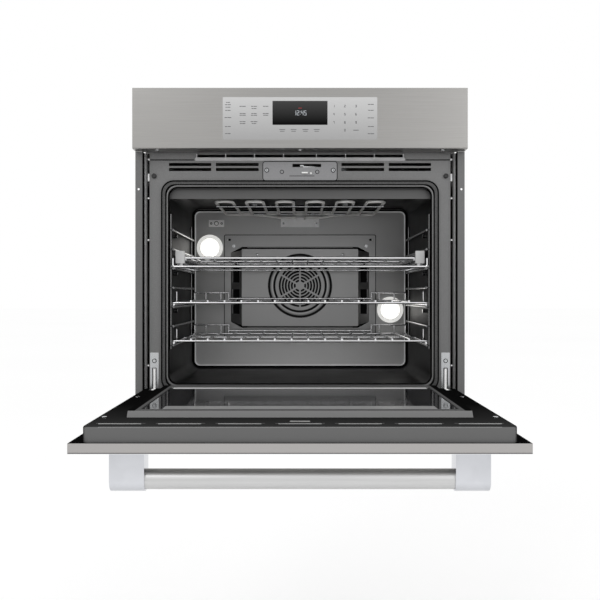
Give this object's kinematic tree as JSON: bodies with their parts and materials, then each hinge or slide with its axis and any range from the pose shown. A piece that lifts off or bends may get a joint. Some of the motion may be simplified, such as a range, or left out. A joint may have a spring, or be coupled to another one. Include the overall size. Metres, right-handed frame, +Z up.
{
  "type": "built-in wall oven",
  "caption": "Built-in single wall oven with a bottom-hinged door, tube handle, touch fascia, convection cavity, broil element and sliding wire racks.",
  "frame": {"origin": "centre of the underside of the chassis, where it stands on the cabinet shelf", "axes": "+X to the viewer's right, -Y out of the oven's front, +Z up"},
  "size_m": [0.7556, 1.121, 0.7945],
  "materials": {
    "stainless": "satin brushed stainless with a horizontal grain",
    "galvanised": "plain galvanised sheet",
    "frame_enamel": "semi-gloss grey enamel",
    "cavity_enamel": "dark grey oven enamel with fine flecks",
    "black_enamel": "glossy black enamel",
    "gasket": "woven seal round the oven mouth",
    "insulation": "mineral wool blanket",
    "silver_glass": "silver back-printed control glass",
    "black_glass": "black display glass",
    "oven_glass": "dark reflective oven glass",
    "middle_glass": "clear tempered glass",
    "circuit_board": "green circuit board",
    "light_plastic": "light grey moulded plastic",
    "white_plastic": "white moulded plastic",
    "plated_steel": "bright zinc-plated steel",
    "latch_steel": "grey plated pressing",
    "heating_tube": "dull grey element sheath",
    "rack_chrome": "bright chromed wire",
    "ladder_wire": "chromed wire darkened by heat",
    "motor_steel": "plated motor casing",
    "fan_steel": "plain sheet-steel wheel",
    "lamp_metal": "bright lamp ring",
    "lamp_glass": "frosted lamp glass",
    "handle_satin": "satin stainless tube",
    "handle_chrome": "polished bracket",
    "bumper_rubber": "black bumper"
  },
  "bodies": {
    "chassis": {"base_pan": "galvanised", "side_panels": "galvanised", "top_cover": "galvanised", "rear_cover": "galvanised", "side_trims": "frame_enamel", "bottom_trim": "stainless", "front_frame": "frame_enamel", "cavity_liner": "cavity_enamel", "oven_gasket": "gasket", "insulation_blanket": "insulation", "rack_ladders": "ladder_wire", "broil_element": "heating_tube", "broil_terminal_plate": "plated_steel", "broil_hanger": "plated_steel", "bake_element": "heating_tube", "convection_element": "heating_tube", "convection_cover": "frame_enamel", "convection_motor": "motor_steel", "lamp_housings": "lamp_metal", "lamp_lenses": "lamp_glass", "lamp_bulbs": "lamp_glass", "temperature_probe": "plated_steel", "cooling_duct": "galvanised", "blower_housing": "galvanised", "blower_motor": "motor_steel", "vent_deflector": "light_plastic", "latch_plate": "latch_steel", "latch_motor": "motor_steel", "door_switch": "white_plastic", "frame_bumpers": "bumper_rubber", "hinge_receivers": "plated_steel", "hinge_arms": "plated_steel", "fascia_panel": "stainless", "touch_glass": "silver_glass", "display_window": "black_glass", "control_board": "circuit_board", "fascia_brackets": "galvanised", "chassis_screws": "plated_steel", "junction_box": "galvanised", "glide_base_frame": "rack_chrome"},
    "door": {"door_skin": "stainless", "door_outer_glass": "oven_glass", "door_middle_glass": "middle_glass", "door_insulation": "insulation", "door_liner": "black_enamel", "glass_retainer": "frame_enamel", "door_inner_glass": "oven_glass", "door_hinge_bodies": "plated_steel", "door_screws": "plated_steel", "handle_bar": "handle_satin", "handle_brackets": "handle_chrome"},
    "lower_rack": {"lower_rack": "rack_chrome"},
    "middle_rack": {"middle_rack": "rack_chrome"},
    "glide_stage": {"glide_middle_rails": "plated_steel"},
    "glide_rack": {"glide_deck": "rack_chrome", "glide_end_caps": "light_plastic"},
    "convection_fan": {"convection_fan": "fan_steel"},
    "blower_wheel": {"blower_wheel": "fan_steel"},
    "latch_hook": {"latch_hook": "plated_steel"},
    "switch_plunger": {"door_switch_plunger": "white_plastic"}
  },
  "joints": [
    {"name": "door_hinge", "type": "hinge", "parent": "chassis", "child": "door", "pos_m": [0, -0.287, 0.043], "axis": [1, 0, 0], "range_deg": [-90, 0]},
    {"name": "lower_rack_slide", "type": "slide", "parent": "chassis", "child": "lower_rack", "axis": [0, -1, 0], "range_m": [0, 0.3]},
    {"name": "middle_rack_slide", "type": "slide", "parent": "chassis", "child": "middle_rack", "axis": [0, -1, 0], "range_m": [0, 0.3]},
    {"name": "glide_rack_slide", "type": "slide", "parent": "chassis", "child": "glide_rack", "axis": [0, -1, 0], "range_m": [0, 0.32]},
    {"name": "glide_stage_slide", "type": "slide", "parent": "chassis", "child": "glide_stage", "axis": [0, -1, 0], "range_m": [0, 0.16]},
    {"name": "convection_fan_spin", "type": "hinge", "parent": "chassis", "child": "convection_fan", "pos_m": [0, 0.16, 0.2937], "axis": [0, 1, 0], "continuous": true},
    {"name": "blower_wheel_spin", "type": "hinge", "parent": "chassis", "child": "blower_wheel", "pos_m": [0, 0.11, 0.62], "axis": [0, 0, 1], "continuous": true},
    {"name": "latch_hook_turn", "type": "hinge", "parent": "chassis", "child": "latch_hook", "pos_m": [0.075, -0.225, 0.566], "axis": [0, 0, 1], "range_deg": [0, 13]},
    {"name": "door_switch_press", "type": "slide", "parent": "chassis", "child": "switch_plunger", "axis": [0, 1, 0], "range_m": [0, 0.004], "stiffness_N_per_m": 300}
  ],
  "couplings": [
    {"joint": "glide_stage_slide", "follows": "glide_rack_slide", "ratio": 0.5}
  ]
}
